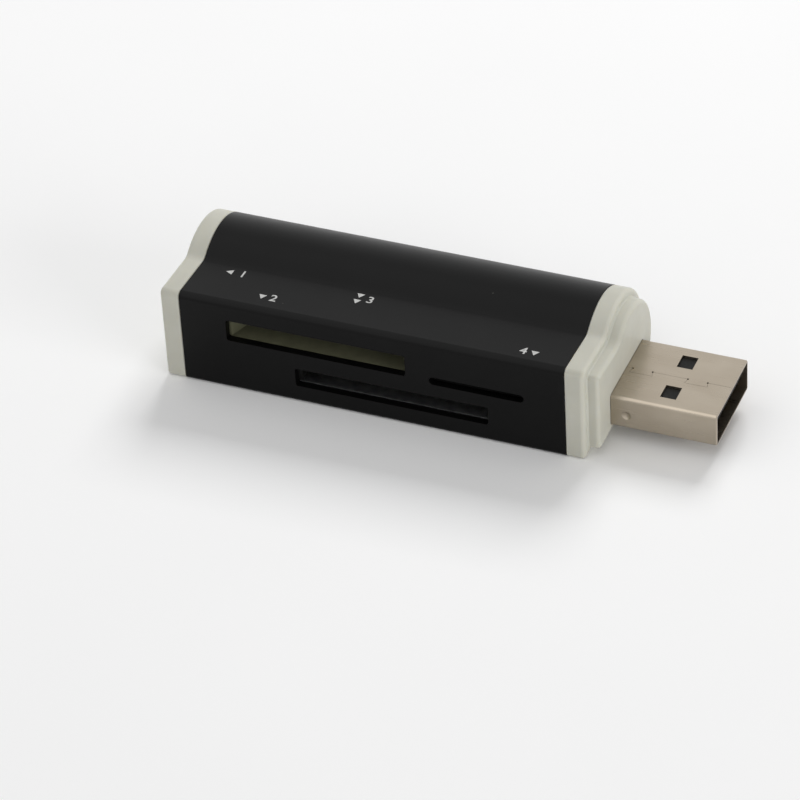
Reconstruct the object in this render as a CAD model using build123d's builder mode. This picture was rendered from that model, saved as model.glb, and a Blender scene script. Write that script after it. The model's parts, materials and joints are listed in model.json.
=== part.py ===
# Memory card reader on a plug: an extruded sleeve closed by two moulded end caps, with a circuit
# board inside that carries the folded steel plug and four card sockets.
# Frame: +X towards the plug, -Y is the slotted front, +Z up. The origin is the middle of the
# sleeve's base. All sizes are in millimetres.

import os
from math import sqrt
from build123d import *

# Body section: a flat-topped block at the front, joined to a round barrel at the back. The flat
# base cuts base_cut off the barrel's lowest part
body_width = 21.5
body_height = 14.6
base_cut = 1.8
shelf_front_height = 13.1
shelf_back_height = 12.7
shelf_depth = 7.8
shelf_corner_radius = 0.8
barrel_foot_radius = 1.0
valley_radius = 1.6

# Sleeve and end caps. No corner of the section is sharper than the caps' rounded edges, which
# have to run round it
sleeve_length = 50.0
sleeve_wall = 1.0
rear_flange = 2.6
front_flange = 2.45
collar_length = 1.55
collar_inset = 1.1
cap_skin = 1.4
cap_edge_radius = 0.55
crease_chamfer = 0.2
joint_chamfer = 0.15
spigot_depth = 4.0
spigot_wall = 1.2
spigot_clearance = 0.1

# Plug: a folded steel shell round a plastic tongue with four contacts
plug_width = 12.0
plug_height = 4.5
plug_exposed = 13.4
plug_hidden = 8.0
plug_center_height = 4.3
plug_offset = 0.25
plug_clearance = 0.1
shell_thickness = 0.3
shell_corner_radius = 0.4
tip_chamfer = 0.12
window_length = 2.0
window_width = 2.4
window_spacing = 6.2
window_from_tip = 5.7
seam_gap = 0.03
dovetail_from_tip = 3.1
dovetail_length = 2.5
dovetail_pitch = 7.0
dovetail_depth = 0.8
dovetail_flare = 0.2
dovetail_count = 2
dovetail_relief = 0.22
dimple_radius = 0.6
dimple_depth = 0.18
dimple_from_tip = 11.4
dimple_drop = 0.3
wing_length = 3.0
wing_reach = 1.4
tongue_thickness = 1.85
tongue_setback = 0.6
tongue_clearance = 0.03
tongue_block_length = 9.0
pin_width = 1.0
pin_thickness = 0.25
pin_proud = 0.05
pin_clearance = 0.03
pin_foot = 1.0
pin_tail = 0.6
inner_pin_spacing = 2.0
outer_pin_spacing = 7.0
inner_pin_setback = 2.6
outer_pin_setback = 1.6

# Circuit board
board_thickness = 0.8
board_side_gap = 1.55
board_end_gap = 0.3
board_corner_radius = 0.5
board_clearance = 0.15

# Cards and their sockets: width, thickness and how far a card stops short of the body's back
medium_card_width = 20.0
medium_card_thickness = 1.6
medium_back_gap = 6.0
medium_floor = 1.65
medium_side = 2.2
medium_roof = 1.2
medium_from_rear = 17.8
medium_contact_count = 10
medium_contact_pitch = 1.7
large_card_width = 24.0
large_card_thickness = 2.1
large_back_gap = 5.0
large_floor = 0.5
large_from_rear = 27.5
large_contact_count = 9
large_contact_pitch = 2.5
small_card_width = 11.0
small_card_thickness = 0.7
small_back_gap = 9.0
small_floor = 0.7
small_from_rear = 38.7
small_contact_count = 8
small_contact_pitch = 1.1
end_card_width = 12.5
end_card_thickness = 1.2
end_insertion = 10.5
end_floor = 0.4
end_offset = -0.4
end_contact_count = 11
end_contact_pitch = 1.05
card_clearance = 0.15
socket_side = 0.8
socket_back = 0.9
socket_gap = 0.1
cover_thickness = 0.2
funnel_depth = 2.2
funnel_side = 1.4
funnel_height = 0.55
spring_width = 0.6
spring_thickness = 0.15
spring_reach = 6.0
spring_lift = 0.25
spring_tip = 0.8
spring_foot = 0.7
spring_clearance = 0.05

# Slots in the sleeve and the rear end cap, larger than the card by this much all round
medium_slot_margin_x = 1.75
medium_slot_margin_z = 0.7
large_slot_margin_x = 0.6
large_slot_margin_z = 0.25
small_slot_margin_x = 0.6
small_slot_margin_z = 0.2
end_slot_margin = 0.25
slot_corner_radius = 0.3

# Electronic components on the board
chip_size = 4.0
chip_height = 0.85
chip_mark_radius = 0.3
chip_mark_depth = 0.1
crystal_length = 3.2
crystal_width = 2.5
crystal_height = 0.8
crystal_lid_inset = 0.2
crystal_lid_height = 0.25
chip_part_length = 1.6
chip_part_width = 0.8
chip_part_height = 0.6
chip_part_cap = 0.35
chip_part_step = 0.05
chip_part_pitch = 1.9
component_gap = 1.0

# Places that follow from the sizes above
front_face = -body_width / 2
rear_end = -sleeve_length / 2
front_end = sleeve_length / 2
barrel_radius = (body_height + base_cut) / 2
barrel_y = body_width / 2 - barrel_radius
barrel_z = body_height - barrel_radius
shelf_slope = (shelf_back_height - shelf_front_height) / shelf_depth
spigot_inset = sleeve_wall + spigot_clearance
collar_end = front_end + front_flange + collar_length
plug_tip = collar_end + plug_exposed
plug_rear = collar_end - plug_hidden
plug_length = plug_exposed + plug_hidden
plug_top = plug_center_height + plug_height / 2
board_top = plug_top - shell_thickness
board_bottom = board_top - board_thickness
board_width = body_width - 2 * board_side_gap
board_rear = rear_end + board_end_gap
board_front = front_end - board_end_gap
socket_mouth = front_face + sleeve_wall + socket_gap
medium_insertion = body_width - medium_back_gap
large_insertion = body_width - large_back_gap
small_insertion = body_width - small_back_gap
shell_inner_width = plug_width - 2 * shell_thickness
shell_inner_height = plug_height - 2 * shell_thickness
shell_inner_radius = shell_corner_radius - shell_thickness
tongue_bottom = plug_center_height + shell_inner_height / 2 - tongue_thickness


def save_piece(piece, name):
    """Label a finished piece and write it as its own file."""
    piece.part.label = name
    export_step(piece.part, f"parts/{name}.step")


def cavity_width(card_width):
    """Width of the space that a card slides into."""
    return card_width + 2 * card_clearance


def cavity_height(card_thickness):
    """Height of the space that a card slides into."""
    return card_thickness + 2 * card_clearance


def dent_ball(dent_radius, dent_depth):
    """Radius of the ball that presses a dent of this radius and depth into a flat sheet."""
    return (dent_radius**2 + dent_depth**2) / (2 * dent_depth)


def body_outline(x, inset=0.0):
    """The body's section at x, every edge moved inwards by inset."""
    front = front_face + inset
    radius = barrel_radius - inset
    shelf_front = shelf_front_height - inset
    shelf_at_barrel = shelf_front + shelf_slope * (barrel_y - front_face)
    foot = barrel_y + sqrt(radius**2 - (barrel_z - inset) ** 2)
    valley = (front_face + shelf_depth, shelf_back_height - inset)
    with BuildSketch(Plane.YZ.offset(x)) as outline:
        with BuildLine():
            Polyline(
                (front, inset),
                (front, shelf_front),
                (barrel_y, shelf_at_barrel),
                (barrel_y, inset),
                close=True,
            )
        make_face()
        with Locations((barrel_y, barrel_z)):
            Circle(radius)
        with Locations((0, inset)):
            Rectangle(2 * body_width, body_height, align=(Align.CENTER, Align.MIN), mode=Mode.INTERSECT)
        fillet(outline.vertices().sort_by_distance(valley)[0], valley_radius + inset)
        fillet(outline.vertices().sort_by_distance((foot, inset))[0], barrel_foot_radius)
        shelf_corner = outline.vertices().sort_by_distance((front, shelf_front))[0]
        fillet(shelf_corner, max(shelf_corner_radius - inset, cap_edge_radius))
        base_corner = outline.vertices().sort_by_distance((front, inset))[0]
        fillet(base_corner, cap_edge_radius)
    return outline.sketch


os.makedirs("parts", exist_ok=True)

# Where each socket sits: x across the card, y the way the card goes in, z away from the board
medium_plane = Plane(
    origin=(rear_end + medium_from_rear, socket_mouth, board_top), x_dir=(1, 0, 0), z_dir=(0, 0, 1)
)
large_plane = Plane(
    origin=(rear_end + large_from_rear, socket_mouth, board_bottom), x_dir=(-1, 0, 0), z_dir=(0, 0, -1)
)
small_plane = Plane(
    origin=(rear_end + small_from_rear, socket_mouth, board_top), x_dir=(1, 0, 0), z_dir=(0, 0, 1)
)
end_plane = Plane(
    origin=(board_rear + socket_gap, end_offset, board_bottom), x_dir=(0, 1, 0), z_dir=(0, 0, -1)
)
medium_slot_z = board_top + medium_floor + card_clearance + medium_card_thickness / 2
large_slot_z = board_bottom - large_floor - card_clearance - large_card_thickness / 2
small_slot_z = board_top + small_floor + card_clearance + small_card_thickness / 2
end_slot_z = board_bottom - end_floor - card_clearance - end_card_thickness / 2

# Sleeve: one length of extruded tube with three card slots milled through its front wall
with BuildPart() as sleeve:
    extrude(body_outline(rear_end), amount=sleeve_length)
    extrude(body_outline(rear_end, sleeve_wall), amount=sleeve_length, mode=Mode.SUBTRACT)
    with BuildSketch(Plane.XZ.offset(-front_face)):
        with Locations((rear_end + medium_from_rear, medium_slot_z)):
            RectangleRounded(
                medium_card_width + 2 * medium_slot_margin_x,
                medium_card_thickness + 2 * medium_slot_margin_z,
                slot_corner_radius,
            )
        with Locations((rear_end + large_from_rear, large_slot_z)):
            RectangleRounded(
                large_card_width + 2 * large_slot_margin_x,
                large_card_thickness + 2 * large_slot_margin_z,
                slot_corner_radius,
            )
        with Locations((rear_end + small_from_rear, small_slot_z)):
            SlotOverall(
                small_card_width + 2 * small_slot_margin_x,
                small_card_thickness + 2 * small_slot_margin_z,
            )
    extrude(amount=-(sleeve_wall + socket_gap), mode=Mode.SUBTRACT)
save_piece(sleeve, "sleeve")

# Rear end cap: a flange that closes the sleeve and a hollow spigot that plugs into it, cut away
# for the board and, below it, for the end card's socket
end_cover_width = cavity_width(end_card_width) + 2 * (socket_side + cover_thickness)
with BuildPart() as rear_end_cap:
    extrude(body_outline(rear_end), amount=-rear_flange)
    fillet(rear_end_cap.faces().sort_by(Axis.X)[0].edges(), cap_edge_radius)
    chamfer(rear_end_cap.faces().sort_by(Axis.X)[-1].edges(), joint_chamfer)
    extrude(body_outline(rear_end, spigot_inset), amount=spigot_depth)
    extrude(
        body_outline(rear_end + spigot_depth, spigot_inset + spigot_wall),
        amount=-(spigot_depth + rear_flange - cap_skin),
        mode=Mode.SUBTRACT,
    )
    with BuildSketch(Plane.XY.offset(board_bottom)):
        with Locations((board_rear, 0)):
            Rectangle(
                spigot_depth,
                board_width + 2 * board_clearance,
                align=(Align.MIN, Align.CENTER),
            )
    extrude(amount=board_thickness + board_clearance, mode=Mode.SUBTRACT)
    with BuildSketch(Plane.XY.offset(board_bottom)):
        with Locations((board_rear, end_offset)):
            Rectangle(
                spigot_depth,
                end_cover_width + 2 * board_clearance,
                align=(Align.MIN, Align.CENTER),
            )
    extrude(amount=-board_bottom, mode=Mode.SUBTRACT)
    with BuildSketch(Plane.YZ.offset(rear_end - rear_flange)):
        with Locations((end_offset, end_slot_z)):
            RectangleRounded(
                end_card_width + 2 * end_slot_margin,
                end_card_thickness + 2 * end_slot_margin,
                slot_corner_radius,
            )
    extrude(amount=rear_flange, mode=Mode.SUBTRACT)
save_piece(rear_end_cap, "rear_end_cap")

# Front end cap: flange, a stepped collar that follows the same outline, and the plug's opening
with BuildPart() as front_end_cap:
    extrude(body_outline(front_end), amount=front_flange)
    fillet(front_end_cap.faces().sort_by(Axis.X)[-1].edges(), cap_edge_radius)
    chamfer(front_end_cap.faces().sort_by(Axis.X)[0].edges(), joint_chamfer)
    extrude(body_outline(front_end + front_flange, collar_inset), amount=collar_length)
    fillet(front_end_cap.faces().sort_by(Axis.X)[-1].edges(), cap_edge_radius)
    step_face = front_end_cap.faces().filter_by(lambda face: len(face.inner_wires()) > 0)[0]
    chamfer(step_face.inner_wires()[0].edges(), crease_chamfer)
    extrude(body_outline(front_end, spigot_inset), amount=-spigot_depth)
    extrude(
        body_outline(front_end - spigot_depth, spigot_inset + spigot_wall),
        amount=spigot_depth + front_flange + collar_length - cap_skin,
        mode=Mode.SUBTRACT,
    )
    with BuildSketch(Plane.XY.offset(board_bottom)):
        with Locations((board_front, 0)):
            Rectangle(
                spigot_depth,
                board_width + 2 * board_clearance,
                align=(Align.MAX, Align.CENTER),
            )
    extrude(amount=board_thickness + board_clearance, mode=Mode.SUBTRACT)
    with BuildSketch(Plane.YZ.offset(collar_end)):
        with Locations((plug_offset, plug_center_height)):
            RectangleRounded(
                plug_width + 2 * plug_clearance,
                plug_height + 2 * plug_clearance,
                shell_corner_radius + plug_clearance,
            )
    extrude(amount=-(front_flange + collar_length + spigot_depth), mode=Mode.SUBTRACT)
save_piece(front_end_cap, "front_end_cap")

# Circuit board: its front end is notched, so that the plug sinks in between two prongs
with BuildPart() as circuit_board:
    with BuildSketch(Plane.XY.offset(board_bottom)) as board_outline:
        with Locations((board_rear, 0)):
            Rectangle(board_front - board_rear, board_width, align=(Align.MIN, Align.CENTER))
        with Locations((plug_rear - plug_clearance, plug_offset)):
            Rectangle(
                board_front - plug_rear + plug_clearance,
                plug_width + 2 * plug_clearance,
                align=(Align.MIN, Align.CENTER),
                mode=Mode.SUBTRACT,
            )
        fillet(board_outline.vertices().group_by(Axis.X)[0], board_corner_radius)
    extrude(amount=board_thickness)
save_piece(circuit_board, "circuit_board")

# Plug shell: sheet steel folded into a tube, its long edges locked by dovetails on top, with a
# small relief at each corner, and a dimple pressed into either side
seam_points = [(plug_tip, plug_offset)]
relief_points = []
for dovetail in range(dovetail_count):
    near = plug_tip - dovetail_from_tip - dovetail * dovetail_pitch
    far = near - dovetail_length
    seam_points.append((near, plug_offset))
    seam_points.append((near + dovetail_flare, plug_offset - dovetail_depth))
    seam_points.append((far - dovetail_flare, plug_offset - dovetail_depth))
    seam_points.append((far, plug_offset))
    relief_points.append((near, plug_offset))
    relief_points.append((far, plug_offset))
seam_points.append((plug_rear, plug_offset))
dimple_ball = dent_ball(dimple_radius, dimple_depth)

with BuildPart() as usb_shell:
    with BuildSketch(Plane.YZ.offset(plug_rear)):
        with Locations((plug_offset, plug_center_height)):
            RectangleRounded(plug_width, plug_height, shell_corner_radius)
            RectangleRounded(
                shell_inner_width, shell_inner_height, shell_inner_radius, mode=Mode.SUBTRACT
            )
    extrude(amount=plug_length)
    tip_edges = usb_shell.faces().sort_by(Axis.X)[-1].outer_wire().edges()
    chamfer(tip_edges, tip_chamfer)
    with BuildSketch(Plane.XY.offset(plug_top)):
        with Locations((plug_tip - window_from_tip, plug_offset)):
            with GridLocations(0, window_spacing, 1, 2):
                Rectangle(window_length, window_width, align=(Align.MAX, Align.CENTER))
    extrude(amount=-plug_height, mode=Mode.SUBTRACT)
    with BuildSketch(Plane.XY.offset(plug_top)):
        with BuildLine():
            Polyline(*seam_points)
        trace(line_width=seam_gap)
        with Locations(*relief_points):
            Rectangle(dovetail_relief, dovetail_relief)
    extrude(amount=-2 * shell_thickness, mode=Mode.SUBTRACT)
    for side in (-1, 1):
        ball_y = plug_offset + side * (plug_width / 2 + dimple_ball - dimple_depth)
        with Locations((plug_tip - dimple_from_tip, ball_y, plug_center_height - dimple_drop)):
            Sphere(dimple_ball, mode=Mode.SUBTRACT)
    with BuildSketch(Plane.XY.offset(board_top)):
        for side in (-1, 1):
            with Locations((plug_rear, plug_offset + side * plug_width / 2)):
                Rectangle(wing_length, 2 * wing_reach, align=(Align.MIN, Align.CENTER))
        with Locations((plug_rear, plug_offset)):
            Rectangle(
                wing_length,
                plug_width - 2 * shell_corner_radius,
                align=(Align.MIN, Align.CENTER),
                mode=Mode.SUBTRACT,
            )
    extrude(amount=shell_thickness)
save_piece(usb_shell, "usb_shell")

# Plug tongue: a block that fills the back of the shell and a tongue under its seam side
pin_rows = [
    (-outer_pin_spacing / 2, outer_pin_setback),
    (-inner_pin_spacing / 2, inner_pin_setback),
    (inner_pin_spacing / 2, inner_pin_setback),
    (outer_pin_spacing / 2, outer_pin_setback),
]
pin_bottom = tongue_bottom - pin_proud
with BuildPart() as usb_tongue:
    with BuildSketch(Plane.YZ.offset(plug_rear)):
        with Locations((plug_offset, plug_center_height)):
            RectangleRounded(
                shell_inner_width - 2 * tongue_clearance,
                shell_inner_height - 2 * tongue_clearance,
                shell_inner_radius,
            )
    extrude(amount=plug_length - tongue_setback)
    with BuildSketch(Plane.YZ.offset(plug_tip)):
        with Locations((plug_offset, tongue_bottom)):
            Rectangle(plug_width, plug_height, align=(Align.CENTER, Align.MAX))
    extrude(amount=tongue_block_length - plug_length, mode=Mode.SUBTRACT)
    for row, setback in pin_rows:
        with BuildSketch(Plane.YZ.offset(plug_rear)):
            with Locations((plug_offset + row, pin_bottom - pin_clearance)):
                Rectangle(
                    pin_width + 2 * pin_clearance,
                    pin_thickness + pin_clearance,
                    align=(Align.CENTER, Align.MIN),
                )
        extrude(amount=plug_length - setback + pin_clearance, mode=Mode.SUBTRACT)
save_piece(usb_tongue, "usb_tongue")

# Plug contacts: flat strips along the tongue, bent up behind it to the board's underside
for number, (row, setback) in enumerate(pin_rows, start=1):
    pin_turn = plug_rear - pin_tail
    with BuildPart() as usb_contact:
        with BuildSketch(Plane.XZ.offset(-plug_offset - row)):
            with BuildLine():
                Polyline(
                    (plug_tip - setback, pin_bottom),
                    (plug_tip - setback, pin_bottom + pin_thickness),
                    (pin_turn, pin_bottom + pin_thickness),
                    (pin_turn, board_bottom),
                    (pin_turn - pin_foot, board_bottom),
                    (pin_turn - pin_foot, board_bottom - pin_thickness),
                    (pin_turn - pin_thickness, board_bottom - pin_thickness),
                    (pin_turn - pin_thickness, pin_bottom),
                    close=True,
                )
            make_face()
        extrude(amount=pin_width / 2, both=True)
    save_piece(usb_contact, f"usb_contact_{number}")


def socket_base(plane, card_width, card_thickness, insertion, side, floor, roof, count, pitch):
    """Moulded socket: floor, sides and back round the card, with a window in the floor for the
    contacts and a hole under the back wall for each one's foot."""
    width = cavity_width(card_width) + 2 * side
    height = floor + cavity_height(card_thickness) + roof
    hole_width = spring_width + 2 * spring_clearance
    contact_span = (count - 1) * pitch + hole_width
    low = (Align.CENTER, Align.MIN, Align.MIN)
    with BuildPart(plane) as base:
        Box(width, insertion + socket_back, height, align=low)
        with Locations((0, 0, floor)):
            Box(
                cavity_width(card_width),
                insertion,
                cavity_height(card_thickness),
                align=low,
                mode=Mode.SUBTRACT,
            )
        with Locations((0, insertion - spring_reach, 0)):
            Box(contact_span, spring_reach, floor, align=low, mode=Mode.SUBTRACT)
        with Locations((0, insertion, 0)):
            with GridLocations(pitch, 0, count, 1):
                Box(
                    hole_width,
                    socket_back,
                    spring_thickness + spring_clearance,
                    align=low,
                    mode=Mode.SUBTRACT,
                )
    return base


def socket_cover(plane, card_width, card_thickness, insertion, floor):
    """Folded steel cover over an open socket, standing on the board at both sides."""
    inner_width = cavity_width(card_width) + 2 * socket_side
    inner_height = floor + cavity_height(card_thickness)
    low = (Align.CENTER, Align.MIN, Align.MIN)
    with BuildPart(plane) as cover:
        Box(
            inner_width + 2 * cover_thickness,
            insertion + socket_back,
            inner_height + cover_thickness,
            align=low,
        )
        Box(inner_width, insertion + socket_back, inner_height, align=low, mode=Mode.SUBTRACT)
    return cover


def spring_contact(plane, insertion, floor, across):
    """One spring contact: a foot on the board, and an arm that rises into the card's path."""
    side_plane = Plane(origin=plane.origin, x_dir=plane.y_dir, z_dir=plane.x_dir).offset(across)
    tip = insertion - spring_reach + spring_clearance
    with BuildPart() as contact:
        with BuildSketch(side_plane):
            with BuildLine():
                Polyline(
                    (insertion + socket_back + spring_foot, 0),
                    (insertion, 0),
                    (tip + spring_tip, floor + spring_lift - spring_thickness),
                    (tip, floor - spring_thickness),
                    (tip, floor),
                    (tip + spring_tip, floor + spring_lift),
                    (insertion, spring_thickness),
                    (insertion + socket_back + spring_foot, spring_thickness),
                    close=True,
                )
            make_face()
        extrude(amount=spring_width / 2, both=True)
    return contact


def contact_places(count, pitch):
    """Where the contacts of one socket lie across the card."""
    return [(index - (count - 1) / 2) * pitch for index in range(count)]


# Medium card socket: closed on top, with a funnel that shows in the wide slot
medium_base = socket_base(
    medium_plane,
    medium_card_width,
    medium_card_thickness,
    medium_insertion,
    medium_side,
    medium_floor,
    medium_roof,
    medium_contact_count,
    medium_contact_pitch,
)
with BuildPart() as medium_card_socket:
    add(medium_base.part)
    with BuildSketch(Plane.XZ.offset(-socket_mouth)):
        with Locations((rear_end + medium_from_rear, medium_slot_z)):
            Rectangle(
                cavity_width(medium_card_width) + 2 * funnel_side,
                cavity_height(medium_card_thickness) + 2 * funnel_height,
            )
    with BuildSketch(Plane.XZ.offset(-socket_mouth - funnel_depth)):
        with Locations((rear_end + medium_from_rear, medium_slot_z)):
            Rectangle(cavity_width(medium_card_width), cavity_height(medium_card_thickness))
    loft(mode=Mode.SUBTRACT)
save_piece(medium_card_socket, "medium_card_socket")
for number, across in enumerate(contact_places(medium_contact_count, medium_contact_pitch), start=1):
    medium_card_contact = spring_contact(medium_plane, medium_insertion, medium_floor, across)
    save_piece(medium_card_contact, f"medium_card_contact_{number}")

# Large card socket, under the board
large_card_socket = socket_base(
    large_plane,
    large_card_width,
    large_card_thickness,
    large_insertion,
    socket_side,
    large_floor,
    0.0,
    large_contact_count,
    large_contact_pitch,
)
save_piece(large_card_socket, "large_card_socket")
large_card_cover = socket_cover(
    large_plane, large_card_width, large_card_thickness, large_insertion, large_floor
)
save_piece(large_card_cover, "large_card_cover")
for number, across in enumerate(contact_places(large_contact_count, large_contact_pitch), start=1):
    large_card_contact = spring_contact(large_plane, large_insertion, large_floor, across)
    save_piece(large_card_contact, f"large_card_contact_{number}")

# Small card socket, on the board beside the medium one
small_card_socket = socket_base(
    small_plane,
    small_card_width,
    small_card_thickness,
    small_insertion,
    socket_side,
    small_floor,
    0.0,
    small_contact_count,
    small_contact_pitch,
)
save_piece(small_card_socket, "small_card_socket")
small_card_cover = socket_cover(
    small_plane, small_card_width, small_card_thickness, small_insertion, small_floor
)
save_piece(small_card_cover, "small_card_cover")
for number, across in enumerate(contact_places(small_contact_count, small_contact_pitch), start=1):
    small_card_contact = spring_contact(small_plane, small_insertion, small_floor, across)
    save_piece(small_card_contact, f"small_card_contact_{number}")

# End card socket, under the board behind the slot in the rear end cap
end_card_socket = socket_base(
    end_plane,
    end_card_width,
    end_card_thickness,
    end_insertion,
    socket_side,
    end_floor,
    0.0,
    end_contact_count,
    end_contact_pitch,
)
save_piece(end_card_socket, "end_card_socket")
end_card_cover = socket_cover(end_plane, end_card_width, end_card_thickness, end_insertion, end_floor)
save_piece(end_card_cover, "end_card_cover")
with BuildPart() as end_card_contacts:
    for across in contact_places(end_contact_count, end_contact_pitch):
        add(spring_contact(end_plane, end_insertion, end_floor, across).part)
save_piece(end_card_contacts, "end_card_contacts")

# Components behind the small card socket, in a row along the board's back edge
small_socket_back = socket_mouth + small_insertion + socket_back + spring_foot
component_y = (small_socket_back + board_width / 2) / 2
component_start = (
    rear_end + medium_from_rear + cavity_width(medium_card_width) / 2 + medium_side + component_gap
)
component_plane = Plane.XY.offset(board_top)
low = (Align.CENTER, Align.CENTER, Align.MIN)

chip_x = component_start + chip_size / 2
with BuildPart(component_plane) as controller_chip:
    with Locations((chip_x, component_y)):
        Box(chip_size, chip_size, chip_height, align=low)
    with BuildSketch(component_plane.offset(chip_height)):
        with Locations((chip_x - chip_size / 4, component_y - chip_size / 4)):
            Circle(chip_mark_radius)
    extrude(amount=-chip_mark_depth, mode=Mode.SUBTRACT)
save_piece(controller_chip, "controller_chip")

crystal_x = chip_x + (chip_size + crystal_length) / 2 + component_gap
with BuildPart(component_plane) as crystal:
    with Locations((crystal_x, component_y)):
        Box(crystal_length, crystal_width, crystal_height - crystal_lid_height, align=low)
    with Locations((crystal_x, component_y, crystal_height - crystal_lid_height)):
        Box(
            crystal_length - 2 * crystal_lid_inset,
            crystal_width - 2 * crystal_lid_inset,
            crystal_lid_height,
            align=low,
        )
save_piece(crystal, "crystal")


def chip_component(x, y):
    """A small two-ended component: a body between two raised metal end caps."""
    cap_shift = (chip_part_length - chip_part_cap) / 2
    with BuildPart(component_plane) as component:
        with Locations((x, y)):
            Box(
                chip_part_length - chip_part_cap,
                chip_part_width - 2 * chip_part_step,
                chip_part_height - chip_part_step,
                align=low,
            )
        with Locations((x - cap_shift, y), (x + cap_shift, y)):
            Box(chip_part_cap, chip_part_width, chip_part_height, align=low)
    return component


beside_crystal = crystal_x + (crystal_length + chip_part_length) / 2 + component_gap
beside_capacitors = beside_crystal + chip_part_length + component_gap
inside_rear_cap = board_rear + spigot_depth / 2
component_places = {
    "capacitor_1": (beside_crystal, component_y - chip_part_pitch / 2),
    "capacitor_2": (beside_crystal, component_y + chip_part_pitch / 2),
    "resistor_1": (beside_capacitors, component_y - chip_part_pitch / 2),
    "resistor_2": (beside_capacitors, component_y + chip_part_pitch / 2),
    "capacitor_3": (inside_rear_cap, -chip_part_pitch),
    "capacitor_4": (inside_rear_cap, 0.0),
    "indicator_led": (inside_rear_cap, chip_part_pitch),
}
for name, (x, y) in component_places.items():
    component = chip_component(x, y)
    save_piece(component, name)
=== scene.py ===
# %% [markdown]
# # Dressing a memory card reader
# The CAD model of the reader is finished: a black extruded sleeve, two off-white end caps, a folded
# steel plug and the sockets inside. This lesson gives each piece the finish of its real material,
# prints the slot marks on the sleeve, and takes the picture. The CAD pieces stay where they are and
# keep their shapes, so the first step only loads them and remembers the box that they fill.

# %% Load the CAD frame
import json
import math

import bpy
from mathutils import Matrix, Vector


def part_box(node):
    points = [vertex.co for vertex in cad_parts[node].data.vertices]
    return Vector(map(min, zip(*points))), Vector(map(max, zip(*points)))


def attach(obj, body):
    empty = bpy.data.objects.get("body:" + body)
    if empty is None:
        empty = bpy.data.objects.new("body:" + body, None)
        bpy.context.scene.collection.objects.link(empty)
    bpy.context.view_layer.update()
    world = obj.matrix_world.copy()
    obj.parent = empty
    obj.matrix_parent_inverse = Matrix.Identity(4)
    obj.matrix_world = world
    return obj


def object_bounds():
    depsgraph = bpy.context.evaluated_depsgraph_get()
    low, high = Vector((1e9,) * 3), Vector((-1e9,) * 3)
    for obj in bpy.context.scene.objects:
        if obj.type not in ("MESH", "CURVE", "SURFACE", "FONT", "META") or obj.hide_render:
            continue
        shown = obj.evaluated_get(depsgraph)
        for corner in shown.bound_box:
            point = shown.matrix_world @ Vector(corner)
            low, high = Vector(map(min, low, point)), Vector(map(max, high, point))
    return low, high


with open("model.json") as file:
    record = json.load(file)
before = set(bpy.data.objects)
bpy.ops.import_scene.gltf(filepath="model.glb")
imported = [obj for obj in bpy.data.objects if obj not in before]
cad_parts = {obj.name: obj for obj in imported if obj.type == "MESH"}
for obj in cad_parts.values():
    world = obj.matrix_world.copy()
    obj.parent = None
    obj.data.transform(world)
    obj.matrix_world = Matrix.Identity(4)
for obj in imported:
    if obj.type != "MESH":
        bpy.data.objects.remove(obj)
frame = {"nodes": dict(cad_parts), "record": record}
cad_low, cad_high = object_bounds()
MM = 0.001
nodes = frame["nodes"]
slot_of = {part["node"]: part["material_slot"] for part in frame["record"]["subparts"]}
print(len(nodes), "CAD nodes, box in mm:", [round(side / MM, 2) for side in cad_high - cad_low])

# %% [markdown]
# ## Tools for the finishes
# Every finish below is a small tree of shader nodes. Colours are easiest to judge as the sRGB hex
# values that a picture editor shows, but shaders work in linear light, so one function converts
# them. A second function adds a node, sets its sockets and links it. Patterns are drawn in Object
# coordinates, which are metres here, so a third function turns a size in millimetres into a scale.
# The last one starts a material whose tree holds only those coordinates.


# %% Colour, node and scale helpers
def linear(hex_code):
    """An sRGB colour of six hex digits as linear red, green, blue and alpha."""
    channels = [int(hex_code[i : i + 2], 16) / 255 for i in (0, 2, 4)]
    return [c / 12.92 if c <= 0.04045 else ((c + 0.055) / 1.055) ** 2.4 for c in channels] + [1.0]


def add_node(tree, kind, settings=None, links=None):
    """Add a node, set its sockets or properties, and link outputs into its sockets."""
    node = tree.nodes.new(kind)
    for name, value in (settings or {}).items():
        if isinstance(name, int) or name in node.inputs:
            node.inputs[name].default_value = value
        else:
            setattr(node, name, value)
    for name, output in (links or {}).items():
        tree.links.new(output, node.inputs[name])
    return node


def scale_for(size):
    """The texture scale that makes a pattern's features about this many millimetres across."""
    return 1 / (size * MM)


def new_finish(name):
    """A new material, its tree, and the Object coordinates of the piece that wears it."""
    material = bpy.data.materials.new(name)
    material.use_nodes = True
    tree = material.node_tree
    tree.nodes.clear()
    return material, tree, add_node(tree, "ShaderNodeTexCoord").outputs["Object"]


finishes = {}
print("helpers ready")

# %% [markdown]
# ## Black anodised aluminium
# The sleeve is one length of extruded aluminium, blasted matt and then anodised and dyed black. The
# dyed oxide hides the metal, so it is not a metallic shader: it looks like a very dark satin skin.
# Up close it has the fine grain of the blasting, faint lines along the extrusion, and a few specks
# of dust, which always show on black. Noise textures give the grain, and a Voronoi texture gives
# the specks, because the distance to its cell centres is small only at single points.

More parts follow.
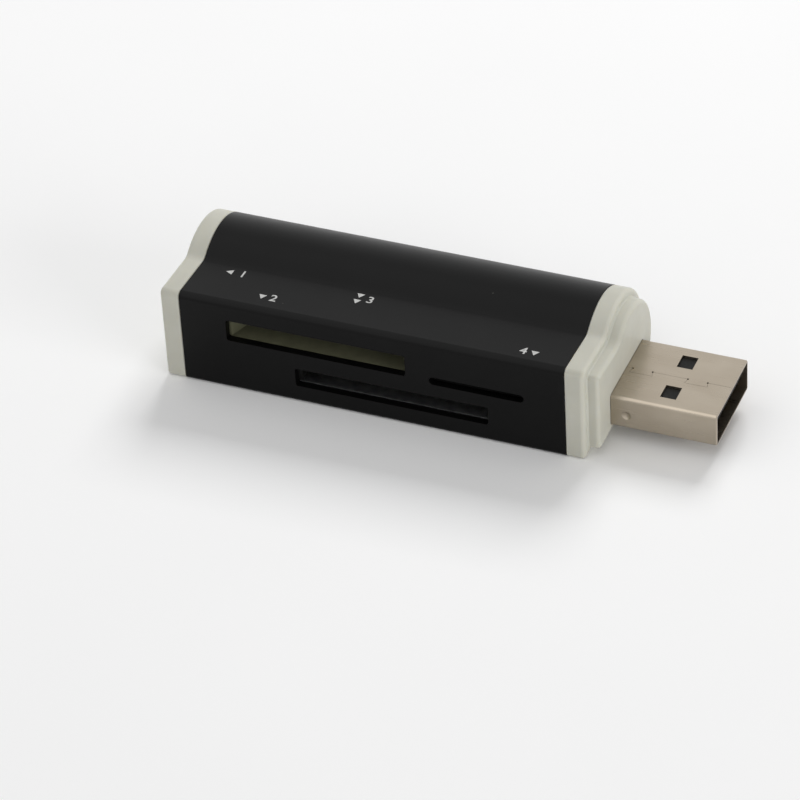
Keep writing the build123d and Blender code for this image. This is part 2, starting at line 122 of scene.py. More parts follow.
# %% Colour of the sleeve
# Gives the eye: near black with a soft grey sheen where it faces the sky
material, tree, place = new_finish("black_anodised_aluminium")
cloud = add_node(tree, "ShaderNodeTexNoise", {"Scale": scale_for(7.0)}, {"Vector": place})
skin = add_node(
    tree,
    "ShaderNodeMix",
    {"data_type": "RGBA", 6: linear("030303"), 7: linear("0A0A0A")},
    {"Factor": cloud.outputs["Fac"]},
)
DUST_SPACING = 5.0
DUST_RADIUS = 0.07
cells = add_node(tree, "ShaderNodeTexVoronoi", {"Scale": scale_for(DUST_SPACING)}, {"Vector": place})
dust = add_node(
    tree,
    "ShaderNodeMath",
    {"operation": "LESS_THAN", 1: DUST_RADIUS / DUST_SPACING},
    {0: cells.outputs["Distance"]},
)
dusty_skin = add_node(
    tree,
    "ShaderNodeMix",
    {"data_type": "RGBA", 7: linear("4A4A46")},
    {"Factor": dust.outputs["Value"], 6: skin.outputs[2]},
)
print("sleeve colour:", len(tree.nodes), "nodes")

# %% Grain of the sleeve
# Nearly all values of a noise texture lie between these two
NOISE_LOW, NOISE_HIGH = 0.3, 0.7
DIE_LINE_STRETCH = 40
handled = add_node(tree, "ShaderNodeTexNoise", {"Scale": scale_for(1.5)}, {"Vector": place})
gloss = add_node(
    tree,
    "ShaderNodeMapRange",
    {"From Min": NOISE_LOW, "From Max": NOISE_HIGH, "To Min": 0.34, "To Max": 0.36},
    {"Value": handled.outputs["Fac"]},
)
blasting = add_node(tree, "ShaderNodeTexNoise", {"Scale": scale_for(0.22)}, {"Vector": place})
blasted = add_node(
    tree, "ShaderNodeBump", {"Distance": 0.002 * MM}, {"Height": blasting.outputs["Fac"]}
)
along = add_node(tree, "ShaderNodeMapping", {"Scale": (1 / DIE_LINE_STRETCH, 1, 1)}, {"Vector": place})
die_lines = add_node(
    tree, "ShaderNodeTexNoise", {"Scale": scale_for(0.5)}, {"Vector": along.outputs["Vector"]}
)
drawn = add_node(
    tree,
    "ShaderNodeBump",
    {"Distance": 0.003 * MM},
    {"Height": die_lines.outputs["Fac"], "Normal": blasted.outputs["Normal"]},
)
shader = add_node(
    tree,
    "ShaderNodeBsdfPrincipled",
    {"Specular IOR Level": 0.125},
    {
        "Base Color": dusty_skin.outputs[2],
        "Roughness": gloss.outputs["Result"],
        "Normal": drawn.outputs["Normal"],
    },
)
add_node(tree, "ShaderNodeOutputMaterial", links={"Surface": shader.outputs["BSDF"]})
finishes["black_anodised_aluminium"] = material
print("finish:", material.name)

# %% [markdown]
# ## Off-white moulded plastic
# The end caps are moulded in a cream ABS. Light enters it a little before it comes back, which
# softens its edges and makes it look waxy, so the shader has some subsurface scattering with a
# radius of about half a millimetre. Two bumps lie over each other: the fine texture of the mould,
# and the slow waviness of a thin wall that has shrunk as it cooled.

# %% Finish of the end caps
# Gives the eye: a soft warm white, satin, with slight waviness from the mould
material, tree, place = new_finish("cream_abs")
cloud = add_node(tree, "ShaderNodeTexNoise", {"Scale": scale_for(4.0)}, {"Vector": place})
cream = add_node(
    tree,
    "ShaderNodeMix",
    {"data_type": "RGBA", 6: linear("B9B8AC"), 7: linear("C6C5BA")},
    {"Factor": cloud.outputs["Fac"]},
)
handled = add_node(tree, "ShaderNodeTexNoise", {"Scale": scale_for(1.2)}, {"Vector": place})
gloss = add_node(
    tree,
    "ShaderNodeMapRange",
    {"From Min": NOISE_LOW, "From Max": NOISE_HIGH, "To Min": 0.42, "To Max": 0.52},
    {"Value": handled.outputs["Fac"]},
)
texture = add_node(tree, "ShaderNodeTexNoise", {"Scale": scale_for(0.3)}, {"Vector": place})
moulded = add_node(
    tree, "ShaderNodeBump", {"Distance": 0.004 * MM}, {"Height": texture.outputs["Fac"]}
)
shrinkage = add_node(
    tree, "ShaderNodeTexNoise", {"Scale": scale_for(6.0), "Detail": 1.0}, {"Vector": place}
)
wavy = add_node(
    tree,
    "ShaderNodeBump",
    {"Distance": 0.02 * MM},
    {"Height": shrinkage.outputs["Fac"], "Normal": moulded.outputs["Normal"]},
)
shader = add_node(
    tree,
    "ShaderNodeBsdfPrincipled",
    {
        "Subsurface Weight": 0.4,
        "Subsurface Radius": (1.0, 0.85, 0.6),
        "Subsurface Scale": 0.5 * MM,
        "Specular IOR Level": 0.4,
    },
    {
        "Base Color": cream.outputs[2],
        "Roughness": gloss.outputs["Result"],
        "Normal": wavy.outputs["Normal"],
    },
)
add_node(tree, "ShaderNodeOutputMaterial", links={"Surface": shader.outputs["BSDF"]})
finishes["off_white_plastic"] = material
print("finish:", material.name)

# %% [markdown]
# ## Nylon darkened by painted shade
# The socket behind the wide slot shows through it. Its colour is a dark olive that paints the deep
# shade inside the slot onto the plastic, so it gets a finish of its own, kept by the node's name
# instead of its slot.

# %% Finish of the socket in the wide slot
# Gives the eye: an uneven olive plastic, darkened to paint the deep shade inside the slot
material, tree, place = new_finish("shade_darkened_nylon")
cloud = add_node(tree, "ShaderNodeTexNoise", {"Scale": scale_for(1.5)}, {"Vector": place})
# Both olive tones are painted shade laid over the socket's plastic
shaded_olive = add_node(
    tree,
    "ShaderNodeMix",
    {"data_type": "RGBA", 6: linear("4A4A3A"), 7: linear("60604C")},
    {"Factor": cloud.outputs["Fac"]},
)
gloss = add_node(
    tree,
    "ShaderNodeMapRange",
    {"From Min": NOISE_LOW, "From Max": NOISE_HIGH, "To Min": 0.5, "To Max": 0.6},
    {"Value": cloud.outputs["Fac"]},
)
texture = add_node(tree, "ShaderNodeTexNoise", {"Scale": scale_for(0.3)}, {"Vector": place})
moulded = add_node(
    tree, "ShaderNodeBump", {"Distance": 0.006 * MM}, {"Height": texture.outputs["Fac"]}
)
shader = add_node(
    tree,
    "ShaderNodeBsdfPrincipled",
    {"Specular IOR Level": 0.3},
    {
        "Base Color": shaded_olive.outputs[2],
        "Roughness": gloss.outputs["Result"],
        "Normal": moulded.outputs["Normal"],
    },
)
add_node(tree, "ShaderNodeOutputMaterial", links={"Surface": shader.outputs["BSDF"]})
node_finishes = {"medium_card_socket": material}
print("finish:", material.name)

# %% [markdown]
# ## Nickel-plated steel
# The plug's shell is rolled steel strip, nickel plated and folded into a tube. The plating is dull
# rather than mirror bright, warm grey, and the rolling leaves very fine lines along the strip. A
# metal keeps the shader's default index of refraction and takes its colour from the base colour.
# The lines are noise stretched along X by a Mapping node, drawn a little coarser than real ones so
# that they show.

# %% Finish of the plug's shell
# Gives the eye: a warm grey satin metal with soft stretched reflections
material, tree, place = new_finish("nickel_plated_steel")
CLOUD_STRETCH = 2
ROLLING_STRETCH = 60
along = add_node(tree, "ShaderNodeMapping", {"Scale": (1 / CLOUD_STRETCH, 1, 1)}, {"Vector": place})
cloud = add_node(
    tree, "ShaderNodeTexNoise", {"Scale": scale_for(3.0)}, {"Vector": along.outputs["Vector"]}
)
nickel = add_node(
    tree,
    "ShaderNodeMix",
    {"data_type": "RGBA", 6: linear("A49989"), 7: linear("B8AE9F")},
    {"Factor": cloud.outputs["Fac"]},
)
far_along = add_node(
    tree, "ShaderNodeMapping", {"Scale": (1 / ROLLING_STRETCH, 1, 1)}, {"Vector": place}
)
lines = add_node(
    tree, "ShaderNodeTexNoise", {"Scale": scale_for(0.12)}, {"Vector": far_along.outputs["Vector"]}
)
gloss = add_node(
    tree,
    "ShaderNodeMapRange",
    {"From Min": NOISE_LOW, "From Max": NOISE_HIGH, "To Min": 0.27, "To Max": 0.31},
    {"Value": lines.outputs["Fac"]},
)
rolled = add_node(
    tree, "ShaderNodeBump", {"Distance": 0.0004 * MM}, {"Height": lines.outputs["Fac"]}
)
dents = add_node(
    tree, "ShaderNodeTexNoise", {"Scale": scale_for(5.0), "Detail": 1.0}, {"Vector": place}
)
pressed = add_node(
    tree,
    "ShaderNodeBump",
    {"Distance": 0.02 * MM},
    {"Height": dents.outputs["Fac"], "Normal": rolled.outputs["Normal"]},
)
shader = add_node(
    tree,
    "ShaderNodeBsdfPrincipled",
    {"Metallic": 1.0},
    {
        "Base Color": nickel.outputs[2],
        "Roughness": gloss.outputs["Result"],
        "Normal": pressed.outputs["Normal"],
    },
)
add_node(tree, "ShaderNodeOutputMaterial", links={"Surface": shader.outputs["BSDF"]})
finishes["nickel_plated_steel"] = material
print("finish:", material.name)

# %% [markdown]
# ## Tinned covers
# The folded covers over three of the sockets are cut from tin-plated sheet. Tin cools in fine
# crystals, so the finish is an even cool grey with small patches that are a little brighter.

# %% Finish of the socket covers
# Gives the eye: plain cool grey sheet, duller than the plug
material, tree, place = new_finish("tin_plated_steel")
spangle = add_node(tree, "ShaderNodeTexNoise", {"Scale": scale_for(0.8)}, {"Vector": place})
tin = add_node(
    tree,
    "ShaderNodeMix",
    {"data_type": "RGBA", 6: linear("858687"), 7: linear("A4A5A6")},
    {"Factor": spangle.outputs["Fac"]},
)
gloss = add_node(
    tree,
    "ShaderNodeMapRange",
    {"From Min": NOISE_LOW, "From Max": NOISE_HIGH, "To Min": 0.4, "To Max": 0.5},
    {"Value": spangle.outputs["Fac"]},
)
shader = add_node(
    tree,
    "ShaderNodeBsdfPrincipled",
    {"Metallic": 1.0},
    {"Base Color": tin.outputs[2], "Roughness": gloss.outputs["Result"]},
)
add_node(tree, "ShaderNodeOutputMaterial", links={"Surface": shader.outputs["BSDF"]})
for name in slot_of:
    if name.endswith("_cover"):
        node_finishes[name] = material
print("finish:", material.name)

# %% [markdown]
# ## Dark plastic
# The tongue in the plug and three of the sockets are glass-filled nylon, which is dark and matt and
# shows a fine fleck where the fibres come to the surface. One noise texture drives the colour, the
# roughness and the bump, so that the flecks are lighter, smoother and proud in the same places.

# %% Finish of the tongue and sockets
# Gives the eye: dark grey, matt, with the fine fleck of glass fibre; the plastic's own dark colour,
# kept darker still to paint the shade inside the plug
material, tree, place = new_finish("glass_filled_nylon")
fleck = add_node(tree, "ShaderNodeTexNoise", {"Scale": scale_for(0.35)}, {"Vector": place})
# The dark grey is partly the nylon's own colour and partly painted shade for the inside of the plug
dark_grey = add_node(
    tree,
    "ShaderNodeMix",
    {"data_type": "RGBA", 6: linear("0E0E0D"), 7: linear("1A1A19")},
    {"Factor": fleck.outputs["Fac"]},
)
gloss = add_node(
    tree,
    "ShaderNodeMapRange",
    {"From Min": NOISE_LOW, "From Max": NOISE_HIGH, "To Min": 0.6, "To Max": 0.48},
    {"Value": fleck.outputs["Fac"]},
)
moulded = add_node(
    tree, "ShaderNodeBump", {"Distance": 0.004 * MM}, {"Height": fleck.outputs["Fac"]}
)
shader = add_node(
    tree,
    "ShaderNodeBsdfPrincipled",
    {"Specular IOR Level": 0.2},
    {
        "Base Color": dark_grey.outputs[2],
        "Roughness": gloss.outputs["Result"],
        "Normal": moulded.outputs["Normal"],
    },
)
add_node(tree, "ShaderNodeOutputMaterial", links={"Surface": shader.outputs["BSDF"]})
finishes["black_plastic"] = material
print("finish:", material.name)

# %% [markdown]
# ## Gold-flashed contacts
# The contacts are stamped from spring bronze and flashed with gold. They sit inside, but the part
# may be opened in another scene, so they are as finished as the outside. Stamping leaves streaks
# along the strip, so the noise is stretched in the plane in which the strips lie.

# %% Finish of the contacts
# Gives the eye: bright yellow metal, a little streaked by stamping
material, tree, place = new_finish("gold_flashed_bronze")
STAMPING_STRETCH = 12
flat = add_node(
    tree,
    "ShaderNodeMapping",
    {"Scale": (1 / STAMPING_STRETCH, 1 / STAMPING_STRETCH, 1)},
    {"Vector": place},
)
streak = add_node(
    tree, "ShaderNodeTexNoise", {"Scale": scale_for(0.15)}, {"Vector": flat.outputs["Vector"]}
)
gold = add_node(
    tree,
    "ShaderNodeMix",
    {"data_type": "RGBA", 6: linear("CFA848"), 7: linear("EFD48C")},
    {"Factor": streak.outputs["Fac"]},
)
gloss = add_node(
    tree,
    "ShaderNodeMapRange",
    {"From Min": NOISE_LOW, "From Max": NOISE_HIGH, "To Min": 0.2, "To Max": 0.32},
    {"Value": streak.outputs["Fac"]},
)
shader = add_node(
    tree,
    "ShaderNodeBsdfPrincipled",
    {"Metallic": 1.0},
    {"Base Color": gold.outputs[2], "Roughness": gloss.outputs["Result"]},
)
add_node(tree, "ShaderNodeOutputMaterial", links={"Surface": shader.outputs["BSDF"]})
finishes["gold_plated_bronze"] = material
print("finish:", material.name)

# %% [markdown]
# ## Circuit board
# The board wears a glossy green solder mask. Copper tracks lie under it and show as lighter bands
# that stand a little proud. A brick texture draws them: its mortar lines run straight and turn at
# right angles, as tracks do.

# %% Finish of the circuit board
# Gives the eye: glossy green with lighter bands where copper tracks lie under the mask
material, tree, place = new_finish("green_solder_mask")
tracks = add_node(
    tree,
    "ShaderNodeTexBrick",
    {
        "Scale": scale_for(2.0),
        "Mortar Size": 0.12,
        "Color1": linear("1F4A2B"),
        "Color2": linear("214E2D"),
        "Mortar": linear("3B7A45"),
    },
    {"Vector": place},
)
proud = add_node(tree, "ShaderNodeBump", {"Distance": 0.02 * MM}, {"Height": tracks.outputs["Fac"]})
shader = add_node(
    tree,
    "ShaderNodeBsdfPrincipled",
    {"Roughness": 0.28},
    {"Base Color": tracks.outputs["Color"], "Normal": proud.outputs["Normal"]},
)
add_node(tree, "ShaderNodeOutputMaterial", links={"Surface": shader.outputs["BSDF"]})
finishes["solder_mask"] = material
print("finish:", material.name)

# %% [markdown]
# ## Chip and crystal
# The controller chip is moulded in black epoxy with a sandy grain. The crystal beside it is sealed
# under a pale metal lid, which is brushed in one direction.

# %% Finish of the chip
# Gives the eye: black epoxy with a fine sandy grain
material, tree, place = new_finish("moulded_epoxy")
grain = add_node(tree, "ShaderNodeTexNoise", {"Scale": scale_for(0.1)}, {"Vector": place})
black = add_node(
    tree,
    "ShaderNodeMix",
    {"data_type": "RGBA", 6: linear("171718"), 7: linear("303031")},
    {"Factor": grain.outputs["Fac"]},
)
gloss = add_node(
    tree,
    "ShaderNodeMapRange",
    {"From Min": NOISE_LOW, "From Max": NOISE_HIGH, "To Min": 0.5, "To Max": 0.65},
    {"Value": grain.outputs["Fac"]},
)
sandy = add_node(tree, "ShaderNodeBump", {"Distance": 0.004 * MM}, {"Height": grain.outputs["Fac"]})
shader = add_node(
    tree,
    "ShaderNodeBsdfPrincipled",
    {"Specular IOR Level": 0.35},
    {
        "Base Color": black.outputs[2],
        "Roughness": gloss.outputs["Result"],
        "Normal": sandy.outputs["Normal"],
    },
)
add_node(tree, "ShaderNodeOutputMaterial", links={"Surface": shader.outputs["BSDF"]})
finishes["chip_resin"] = material
print("finish:", material.name)

# %% Finish of the crystal's can
# Gives the eye: pale brushed metal lid
material, tree, place = new_finish("plated_lid")
BRUSHING_STRETCH = 30
along = add_node(
    tree, "ShaderNodeMapping", {"Scale": (1 / BRUSHING_STRETCH, 1, 1)}, {"Vector": place}
)
brushed = add_node(
    tree, "ShaderNodeTexNoise", {"Scale": scale_for(0.06)}, {"Vector": along.outputs["Vector"]}
)
pale = add_node(
    tree,
    "ShaderNodeMix",
    {"data_type": "RGBA", 6: linear("BBBAB5"), 7: linear("DBDAD5")},
    {"Factor": brushed.outputs["Fac"]},
)
gloss = add_node(
    tree,
    "ShaderNodeMapRange",
    {"From Min": NOISE_LOW, "From Max": NOISE_HIGH, "To Min": 0.25, "To Max": 0.4},
    {"Value": brushed.outputs["Fac"]},
)
shader = add_node(
    tree,
    "ShaderNodeBsdfPrincipled",
    {"Metallic": 1.0},
    {"Base Color": pale.outputs[2], "Roughness": gloss.outputs["Result"]},
)
add_node(tree, "ShaderNodeOutputMaterial", links={"Surface": shader.outputs["BSDF"]})
finishes["crystal_can"] = material
print("finish:", material.name)

# %% [markdown]
# ## Two-ended components
# A chip capacitor or resistor is a small ceramic brick with tinned ends, and the indicator lamp is
# built alike. One mesh has to show both finishes, so the tree measures how far a point lies from
# the middle of the brick along X: beyond a set distance it is tin, nearer it is the body. A Mapping
# node centres that measure on the piece.


# %% Finishes of the small components
# Gives the eye: small speckled bricks between bright metal ends
def two_ended_finish(name, body_dark, body_light, end_band):
    """A ceramic body with tinned ends, centred on the CAD node of this name."""
    low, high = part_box(name)
    half_body = (high.x - low.x) / 2 - end_band * MM
    material, tree, place = new_finish("tinned_ceramic_" + name)
    centred = add_node(tree, "ShaderNodeMapping", {"Location": -(low + high) / 2}, {"Vector": place})
    split = add_node(tree, "ShaderNodeSeparateXYZ", links={"Vector": centred.outputs["Vector"]})
    away = add_node(tree, "ShaderNodeMath", {"operation": "ABSOLUTE"}, {0: split.outputs["X"]})
    tinned = add_node(
        tree, "ShaderNodeMath", {"operation": "GREATER_THAN", 1: half_body}, {0: away.outputs[0]}
    )
    speckle = add_node(tree, "ShaderNodeTexNoise", {"Scale": scale_for(0.12)}, {"Vector": place})
    ceramic = add_node(
        tree,
        "ShaderNodeMix",
        {"data_type": "RGBA", 6: linear(body_dark), 7: linear(body_light)},
        {"Factor": speckle.outputs["Fac"]},
    )
    tin = add_node(
        tree,
        "ShaderNodeMix",
        {"data_type": "RGBA", 6: linear("B4B4AF"), 7: linear("D4D4D0")},
        {"Factor": speckle.outputs["Fac"]},
    )
    colour = add_node(
        tree,
        "ShaderNodeMix",
        {"data_type": "RGBA"},
        {"Factor": tinned.outputs[0], 6: ceramic.outputs[2], 7: tin.outputs[2]},
    )
    gloss = add_node(
        tree,
        "ShaderNodeMapRange",
        {"From Min": NOISE_LOW, "From Max": NOISE_HIGH, "To Min": 0.35, "To Max": 0.5},
        {"Value": speckle.outputs["Fac"]},
    )
    shader = add_node(
        tree,
        "ShaderNodeBsdfPrincipled",
        links={
            "Base Color": colour.outputs[2],
            "Metallic": tinned.outputs[0],
            "Roughness": gloss.outputs["Result"],
        },
    )
    add_node(tree, "ShaderNodeOutputMaterial", links={"Surface": shader.outputs["BSDF"]})
    return material


body_colours = {
    "ceramic": ("805F41", "A18161"),
    "resistor_film": ("18181B", "313134"),
    "lamp_resin": ("BFBEA3", "E2E1CA"),
}
END_BAND = 0.4
for name, slot in slot_of.items():
    if slot in body_colours:
        node_finishes[name] = two_ended_finish(name, *body_colours[slot], END_BAND)
print(len(node_finishes), "nodes have a finish of their own")

# %% [markdown]
# ## Assigning the finishes
# A CAD node arrives with one plain material in its slot. Its mesh must not change, but its slot may
# hold any material, so we only swap what is in it.

# %% Give every CAD node its finish
for name, node in nodes.items():
    finish = node_finishes.get(name) or finishes[slot_of[name]]
    node.data.materials.clear()
    node.data.materials.append(finish)
print("finished nodes:", len(nodes))

# %% [markdown]
# ## Screen-printing ink
# The marks on the sleeve are printed in a thin matt white ink, a little thinned by handling, so its
# colour varies from white to a light grey in patches of a few tenths of a millimetre.

# %% Finish of the marks
# Gives the eye: soft white, flat, slightly uneven
ink_finish, tree, place = new_finish("screen_print_ink")
patch = add_node(tree, "ShaderNodeTexNoise", {"Scale": scale_for(0.35)}, {"Vector": place})
white_ink = add_node(
    tree,
    "ShaderNodeMix",
    {"data_type": "RGBA", 6: linear("A0A09E"), 7: linear("D8D8D6")},
    {"Factor": patch.outputs["Fac"]},
)
shader = add_node(
    tree, "ShaderNodeBsdfPrincipled", {"Roughness": 0.6}, {"Base Color": white_ink.outputs[2]}
)
add_node(tree, "ShaderNodeOutputMaterial", links={"Surface": shader.outputs["BSDF"]})
print("finish:", ink_finish.name)

# %% [markdown]
# ## Where the marks lie
# The sleeve's flat top slopes a little towards the back. A ray shot straight down from above finds
# the point of the top at any x and y, and two such points give the slope, so the marks stay on the
# sleeve if its size is changed.

# %% The top of the sleeve
STRAIGHT_DOWN = Vector((0, 0, -1))
NEAR_Y, FAR_Y = -8, -5


def on_shelf(x, y):
    """The point of the sleeve's top at x and y in mm, found by looking down from over it."""
    above = Vector((x * MM, y * MM, 2 * cad_high.z))
    _, point, _, _ = nodes["sleeve"].ray_cast(above, STRAIGHT_DOWN)
    return point


near, far = on_shelf(0, NEAR_Y), on_shelf(0, FAR_Y)
slope = math.atan((far.z - near.z) / (far.y - near.y))
print("the top falls", round(-math.degrees(slope), 2), "degrees towards the back")

# %% [markdown]
# ## Arrows that point at the slots
# White triangles show which way each card goes in. They repeat, so Geometry Nodes make them: a
# point for each mark, a three-sided disc on it as thick as the ink, turned by an angle that the
# point carries. The turn comes first and the slope after it, so that every triangle lies flat on
# the top whichever way it points.

# %% Points for the triangles
TO_FRONT = math.radians(-90)
TO_REAR_END = math.radians(180)
marks = [
    (-20.8, -4.3, TO_REAR_END),
    (-15.0, -7.9, TO_FRONT),
    (-3.75, -3.8, TO_FRONT),
    (-3.75, -5.1, TO_FRONT),
    (20.55, -8.4, TO_FRONT),
]
mark_mesh = bpy.data.meshes.new("slot_arrows")
mark_mesh.from_pydata([on_shelf(x, y) for x, y, turn in marks], [], [])
turns = mark_mesh.attributes.new("turn", "FLOAT", "POINT")
turns.data.foreach_set("value", [turn for x, y, turn in marks])
arrows = bpy.data.objects.new("slot_arrows", mark_mesh)
bpy.context.scene.collection.objects.link(arrows)
print("triangles to print:", len(marks))

# %% Tree that draws the triangles
group = bpy.data.node_groups.new("printed_arrows", "GeometryNodeTree")
group.interface.new_socket("Geometry", in_out="INPUT", socket_type="NodeSocketGeometry")
size_socket = group.interface.new_socket("Size", in_out="INPUT", socket_type="NodeSocketFloat")
ink_socket = group.interface.new_socket("Ink", in_out="INPUT", socket_type="NodeSocketFloat")
slope_socket = group.interface.new_socket("Slope", in_out="INPUT", socket_type="NodeSocketFloat")
group.interface.new_socket("Geometry", in_out="OUTPUT", socket_type="NodeSocketGeometry")
entry = add_node(group, "NodeGroupInput")
triangle = add_node(
    group,
    "GeometryNodeMeshCircle",
    {"fill_type": "NGON", "Vertices": 3},
    {"Radius": entry.outputs["Size"]},
)
thick = add_node(
    group,
    "GeometryNodeExtrudeMesh",
    {"Individual": False},
    {"Mesh": triangle.outputs["Mesh"], "Offset Scale": entry.outputs["Ink"]},
)
turn = add_node(group, "GeometryNodeInputNamedAttribute", {"data_type": "FLOAT", "Name": "turn"})
spin = add_node(group, "ShaderNodeCombineXYZ", links={"Z": turn.outputs[0]})
tilt = add_node(group, "ShaderNodeCombineXYZ", links={"X": entry.outputs["Slope"]})
lying = add_node(
    group,
    "FunctionNodeRotateRotation",
    {"rotation_space": "GLOBAL"},
    {"Rotation": spin.outputs["Vector"], "Rotate By": tilt.outputs["Vector"]},
)
placed = add_node(
    group,
    "GeometryNodeInstanceOnPoints",
    links={
        "Points": entry.outputs["Geometry"],
        "Instance": thick.outputs["Mesh"],
        "Rotation": lying.outputs["Rotation"],
    },
)
solid = add_node(group, "GeometryNodeRealizeInstances", links={"Geometry": placed.outputs[0]})
inked = add_node(
    group, "GeometryNodeSetMaterial", {"Material": ink_finish}, {"Geometry": solid.outputs[0]}
)
add_node(group, "NodeGroupOutput", links={"Geometry": inked.outputs["Geometry"]})
print("arrow tree:", len(group.nodes), "nodes")

# %% Turn the triangles into a plain mesh
ARROW_RADIUS = 0.58
INK = 0.012
modifier = arrows.modifiers.new("printed_arrows", "NODES")
modifier.node_group = group
modifier[size_socket.identifier] = ARROW_RADIUS * MM
modifier[ink_socket.identifier] = INK * MM
modifier[slope_socket.identifier] = slope
view = bpy.context.evaluated_depsgraph_get()
printed = bpy.data.meshes.new_from_object(arrows.evaluated_get(view))
arrows.modifiers.remove(modifier)
arrows.data = printed
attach(arrows, "root")
print("slot arrows:", len(printed.polygons), "faces")

# %% [markdown]
# ## Slot numbers
# Each arrow has a number beside it, in bold figures a little over a millimetre tall. They are text
# objects made into meshes, with their place put into the mesh, so that the object itself stays at
# the origin as the CAD nodes do.

# %% Numbers beside the arrows
NUMBER_SIZE = 1.9
BOLD = 0.018
numbers = {"1": (-19.6, -4.9), "2": (-14.0, -8.55), "3": (-2.7, -5.05), "4": (18.65, -9.05)}
lean = Matrix.Rotation(slope, 4, "X")
for figure, (x, y) in numbers.items():
    text = bpy.data.curves.new("slot_number_" + figure, "FONT")
    text.body = figure
    text.size = NUMBER_SIZE * MM
    text.offset = BOLD * MM
    text.extrude = INK * MM / 2
    drawn_text = bpy.data.objects.new("drawn_" + figure, text)
    bpy.context.scene.collection.objects.link(drawn_text)
    view = bpy.context.evaluated_depsgraph_get()
    mesh = bpy.data.meshes.new_from_object(drawn_text.evaluated_get(view))
    bpy.data.objects.remove(drawn_text)
    lift = Vector((0, 0, INK * MM / 2))
    mesh.transform(Matrix.Translation(on_shelf(x, y) + lift) @ lean)
    mesh.materials.clear()
    mesh.materials.append(ink_finish)
    number = bpy.data.objects.new("slot_number_" + figure, mesh)
    bpy.context.scene.collection.objects.link(number)
    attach(number, "root")
print("numbers:", sorted(numbers))

# %% [markdown]
# ## Table
# The reader lies on a plain pale table. Its paper colour is nearly white and its own, so it keeps
# the reader's shadow, and it is wide enough to reach past every edge of the picture.

# %% Table top
FLOOR_HALF = 3000
FLOOR_GAP = 0.02
floor_mesh = bpy.data.meshes.new("table_top")
corners = [(-1, -1), (1, -1), (1, 1), (-1, 1)]
floor_mesh.from_pydata(
    [(x * FLOOR_HALF * MM, y * FLOOR_HALF * MM, -FLOOR_GAP * MM) for x, y in corners],
    [],
    [(0, 1, 2, 3)],
)
floor = bpy.data.objects.new("table_top", floor_mesh)
bpy.context.scene.collection.objects.link(floor)
# Gives the eye: flat pale paper
material, tree, place = new_finish("pale_paper")
cloud = add_node(tree, "ShaderNodeTexNoise", {"Scale": scale_for(60.0)}, {"Vector": place})
paper = add_node(
    tree,
    "ShaderNodeMix",
    {"data_type": "RGBA", 6: linear("FAFAFA"), 7: linear("FEFEFE")},
    {"Factor": cloud.outputs["Fac"]},
)
shader = add_node(
    tree,
    "ShaderNodeBsdfPrincipled",
    {"Roughness": 0.9, "Specular IOR Level": 0.0},
    {"Base Color": paper.outputs[2]},
)
add_node(tree, "ShaderNodeOutputMaterial", links={"Surface": shader.outputs["BSDF"]})
floor_mesh.materials.append(material)
print("table top at", -FLOOR_GAP, "mm")

# %% [markdown]
# ## Sky
# The sky fills in the light that the lamps leave out. What looks into it, the camera and the
# reflections, sees plain white, which the Light Path node tells apart from the light it gives.

# %% Sky
SKY_STRENGTH = 0.3
SEEN_STRENGTH = 1.0
world = bpy.data.worlds.new("soft_sky")
bpy.context.scene.world = world
world.use_nodes = True
sky_tree = world.node_tree
sky_tree.nodes.clear()
path = add_node(sky_tree, "ShaderNodeLightPath")
looked_at = add_node(
    sky_tree,
    "ShaderNodeMath",
    {"operation": "MAXIMUM"},
    {0: path.outputs["Is Camera Ray"], 1: path.outputs["Is Glossy Ray"]},
)
seen = add_node(
    sky_tree,
    "ShaderNodeMath",
    {"operation": "MAXIMUM"},
    {0: looked_at.outputs[0], 1: path.outputs["Is Transmission Ray"]},
)
strength = add_node(
    sky_tree,
    "ShaderNodeMapRange",
    {"To Min": SKY_STRENGTH, "To Max": SEEN_STRENGTH},
    {"Value": seen.outputs[0]},
)
sky = add_node(
    sky_tree,
    "ShaderNodeBackground",
    {"Color": linear("FFFFFF")},
    {"Strength": strength.outputs["Result"]},
)
add_node(sky_tree, "ShaderNodeOutputWorld", links={"Surface": sky.outputs["Background"]})
print("sky strength", SKY_STRENGTH)

# %% [markdown]
# ## Lamps
# The main lamp stands behind the reader, so its tops are brighter than its front, and the
# shadow falls to the near side, where it gives the black sleeve and the bright metal something
# dark to reflect. A weaker one high at the front left draws a soft highlight along the barrel and
# the plug's bent edge, and one stands low at the right, so the plug's end is not left dark. Each is
# a square that faces the reader. Only the one at the left shows in reflections, and in place of
# the other two they see the white sky.

# %% Lamps
# Lamps are placed and sized in metres
LAMP_DISTANCE = 0.9


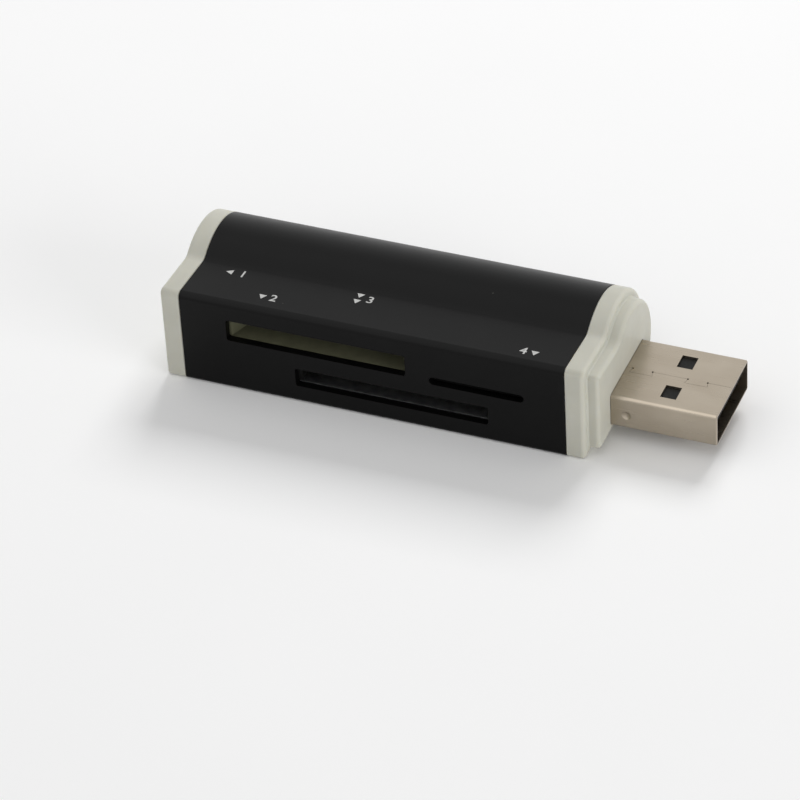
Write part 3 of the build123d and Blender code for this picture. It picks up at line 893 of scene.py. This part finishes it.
def soft_lamp(name, azimuth, elevation, side, power, reflected):
    """A square soft lamp that looks at the reader: angles in degrees, side in metres."""
    a, e = math.radians(azimuth), math.radians(elevation)
    away = Vector((math.sin(a) * math.cos(e), -math.cos(a) * math.cos(e), math.sin(e)))
    lamp = bpy.data.lights.new(name, "AREA")
    lamp.size = side
    lamp.energy = power
    stand = bpy.data.objects.new(name, lamp)
    stand.location = away * LAMP_DISTANCE
    stand.rotation_mode = "QUATERNION"
    stand.rotation_quaternion = away.to_track_quat("Z", "Y")
    stand.visible_glossy = reflected
    bpy.context.scene.collection.objects.link(stand)


soft_lamp("back_softbox", azimuth=180, elevation=42, side=0.4, power=4.4, reflected=False)
soft_lamp("left_softbox", azimuth=-50, elevation=56, side=1.4, power=3.5, reflected=True)
soft_lamp("low_fill", azimuth=72, elevation=8, side=0.6, power=5.3, reflected=False)

# %% [markdown]
# ## Camera
# The picture is taken from in front and above, a little to the right, with a long lens, so that the
# far end is nearly as large as the near one. Azimuth, elevation, roll, focal length and distance
# place the camera round a target point under the reader.

# %% Camera
AZIMUTH, ELEVATION, ROLL = (math.radians(a) for a in (23.73, 37.79, -3.49))
FOCAL_PIXELS = 4393.76
PICTURE_PIXELS = 800
DISTANCE = 548.3
target = Vector((-1.16, 0.25, -5.8)) * MM
back = Vector(
    (
        math.sin(AZIMUTH) * math.cos(ELEVATION),
        -math.cos(AZIMUTH) * math.cos(ELEVATION),
        math.sin(ELEVATION),
    )
)
level = Vector((math.cos(AZIMUTH), math.sin(AZIMUTH), 0))
upright = back.cross(level)
right = math.cos(ROLL) * level + math.sin(ROLL) * upright
up = -math.sin(ROLL) * level + math.cos(ROLL) * upright
lens = bpy.data.cameras.new("camera")
lens.sensor_width = 36
lens.lens = FOCAL_PIXELS * lens.sensor_width / PICTURE_PIXELS
lens.clip_start, lens.clip_end = 0.01, 20
camera = bpy.data.objects.new("camera", lens)
turned = Matrix((right, up, back)).transposed().to_4x4()
camera.matrix_world = Matrix.Translation(target + back * DISTANCE * MM) @ turned
bpy.context.scene.collection.objects.link(camera)
bpy.context.scene.camera = camera
bpy.context.scene.view_settings.view_transform = "Standard"
print("lens", round(lens.lens, 1), "mm")

# %% [markdown]
# ## Finish
# The last step brings the scene up to date.

# %% Update the scene and finish
bpy.context.view_layer.update()
